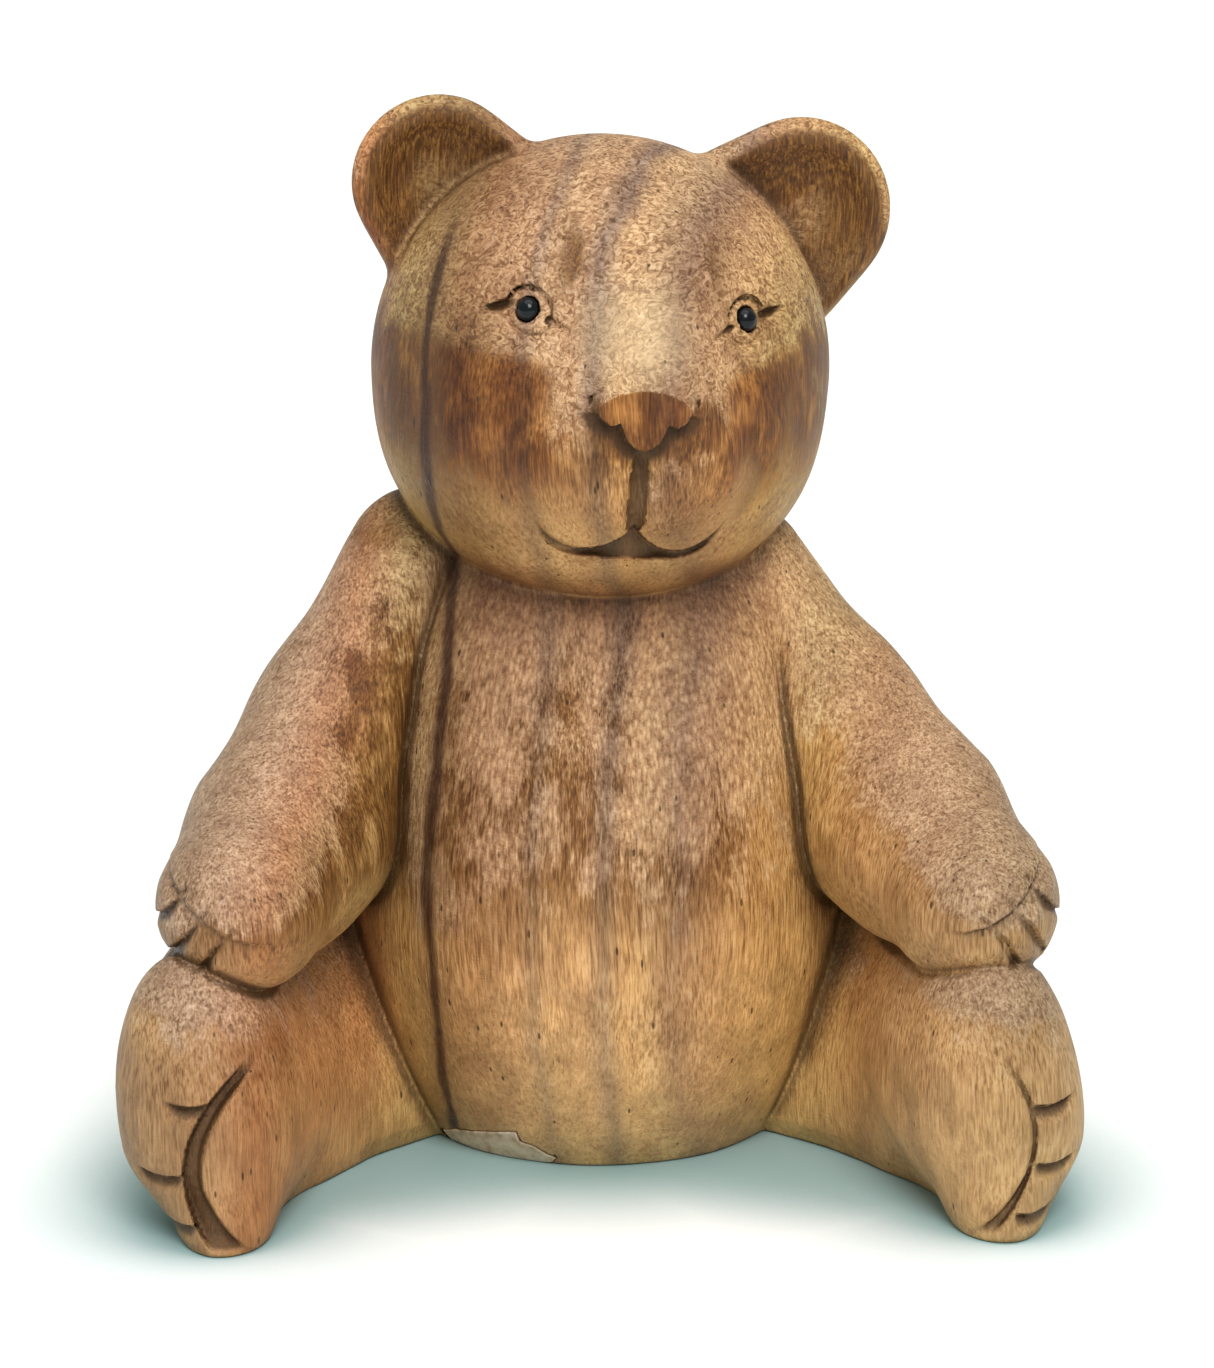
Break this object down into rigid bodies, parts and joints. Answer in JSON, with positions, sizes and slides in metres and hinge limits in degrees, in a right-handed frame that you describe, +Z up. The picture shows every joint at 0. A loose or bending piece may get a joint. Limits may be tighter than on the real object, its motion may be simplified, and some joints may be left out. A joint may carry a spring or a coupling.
{
  "type": "carved wooden figurine",
  "caption": "Seated bear figurine carved from one block of wood, with pressed-in black bead eyes, resting on a flat underside as a shelf or desk ornament.",
  "frame": {"origin": "middle of the outline on the plane of the flat underside", "axes": "+Z up from the base to the ears, -Y the way the bear looks, +X towards the bear's left side"},
  "size_m": [0.131, 0.0948, 0.1511],
  "materials": {
    "carved_wood": "satin, waxed",
    "eye_black": "gloss",
    "filler": "matte"
  },
  "bodies": {
    "root": {"carved_bear": "carved_wood", "left_eye": "eye_black", "right_eye": "eye_black", "base_filler": "filler"}
  },
  "joints": []
}
